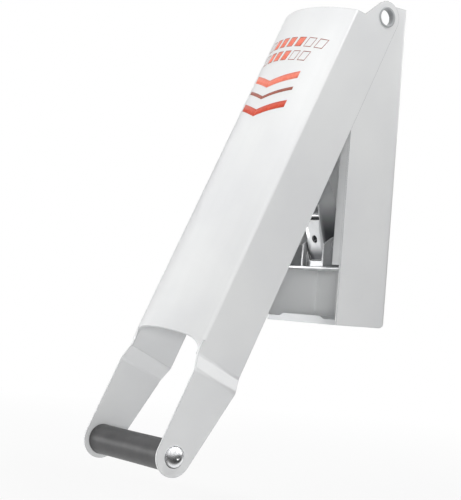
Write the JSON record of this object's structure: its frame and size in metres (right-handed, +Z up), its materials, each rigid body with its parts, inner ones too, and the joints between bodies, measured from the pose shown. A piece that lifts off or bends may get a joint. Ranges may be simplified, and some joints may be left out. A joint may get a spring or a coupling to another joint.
{
  "type": "lever can crusher",
  "caption": "Wall-mounted lever can crusher: folded back frame, arched lever with tapered handle arms and grip, and a link that drives a sliding platen onto a can seat.",
  "frame": {"origin": "centre of the wall-screw pattern on the rear face of the back frame", "axes": "+X to the right as one faces the wall, +Y into the wall, +Z up"},
  "size_m": [0.1156, 0.2131, 0.3794],
  "materials": {
    "white_enamel": "gloss powder coat",
    "zinc_plate": "bright zinc",
    "chrome": "polished",
    "grip_rubber": "matte"
  },
  "bodies": {
    "frame": {"back_frame": "white_enamel", "can_seat": "white_enamel", "pivot_eyelet_left": "white_enamel", "pivot_eyelet_right": "white_enamel"},
    "lever": {"lever": "white_enamel", "crank_bracket": "white_enamel", "crank_stub_left": "zinc_plate", "crank_stub_right": "zinc_plate", "handle_rod": "zinc_plate", "grip": "grip_rubber", "cap_nut_left": "chrome", "cap_nut_right": "chrome", "cap_washer_left": "chrome", "cap_washer_right": "chrome"},
    "platen": {"platen": "zinc_plate", "yoke": "zinc_plate", "lower_pin": "zinc_plate", "pin_washer": "zinc_plate"},
    "link": {"link": "zinc_plate", "link_spacer": "zinc_plate", "link_top_pin": "zinc_plate"}
  },
  "joints": [
    {"name": "lever_hinge", "type": "hinge", "parent": "frame", "child": "lever", "pos_m": [0, -0.024, 0.1195], "axis": [-1, 0, 0], "range_deg": [-24.3, 72.7]},
    {"name": "platen_slide", "type": "slide", "parent": "frame", "child": "platen", "axis": [0, 0, 1], "range_m": [-0.0306, 0.0911]},
    {"name": "link_hinge", "type": "hinge", "parent": "platen", "child": "link", "pos_m": [0, -0.0325, -0.065], "axis": [1, 0, 0], "range_deg": [-6.9, 20.46]}
  ],
  "couplings": [
    {"joint": "platen_slide", "follows": "lever_hinge", "m_per_rad": 0.07162},
    {"joint": "link_hinge", "follows": "lever_hinge", "ratio": 0.28}
  ]
}
